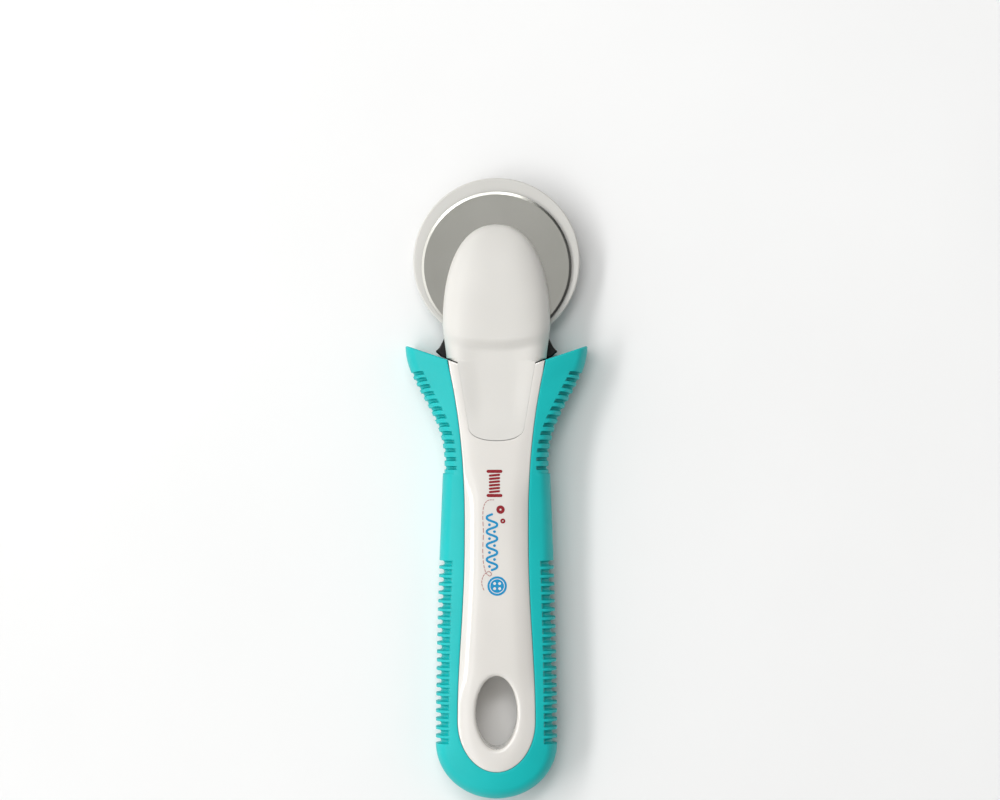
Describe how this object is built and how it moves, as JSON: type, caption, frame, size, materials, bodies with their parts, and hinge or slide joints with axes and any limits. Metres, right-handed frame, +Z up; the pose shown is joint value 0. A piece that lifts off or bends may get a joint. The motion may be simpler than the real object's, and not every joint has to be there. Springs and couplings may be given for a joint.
{
  "type": "rotary cutter",
  "caption": "Hand-held rotary fabric cutter: round blade on a hub, sliding blade guard, domed head cover, flared ribbed grip with a smooth spine and an oval hang hole.",
  "frame": {"origin": "middle of the object's box on the surface that its flat back rests on", "axes": "+Y from the tail towards the blade, +Z up out of the white front face, X across"},
  "size_m": [0.0542, 0.1862, 0.02],
  "materials": {
    "white_shell": "warm white glossy moulded plastic",
    "white_cover": "warm white satin moulded plastic",
    "turquoise_grip": "soft-touch turquoise elastomer",
    "black_plastic": "black moulded nylon",
    "milky_guard": "pale milky plastic",
    "nylon": "natural nylon",
    "blade_steel": "polished tool steel, ground rim",
    "spring_steel": "spring steel",
    "zinc_steel": "zinc plated steel"
  },
  "bodies": {
    "handle": {"back_shell": "white_shell", "front_shell": "white_shell", "soft_grip": "turquoise_grip", "chassis": "black_plastic", "chassis_screws": "zinc_steel", "locating_pins": "zinc_steel", "casing_screws": "zinc_steel", "head_cover": "white_cover", "hub_bolt": "zinc_steel", "hub_bushing": "zinc_steel", "blade_washer": "nylon", "wave_washer": "spring_steel", "detent_spring": "spring_steel", "spring_rivets": "zinc_steel"},
    "cutting_blade": {"blade": "blade_steel"},
    "sliding_guard": {"guard": "milky_guard", "guard_slider": "black_plastic", "slider_screw": "zinc_steel"},
    "knurled_nut": {"hub_nut": "black_plastic", "nut_insert": "zinc_steel"}
  },
  "joints": [
    {"name": "blade_spin", "type": "hinge", "parent": "handle", "child": "cutting_blade", "pos_m": [0, 0.06648, 0.01], "axis": [0, 0, 1], "continuous": true},
    {"name": "guard_slide", "type": "slide", "parent": "handle", "child": "sliding_guard", "axis": [0, 1, 0], "range_m": [-0.009, 0]},
    {"name": "nut_turn", "type": "hinge", "parent": "handle", "child": "knurled_nut", "pos_m": [0, 0.06648, 0.002], "axis": [0, 0, 1], "range_deg": [-360, 0]}
  ]
}
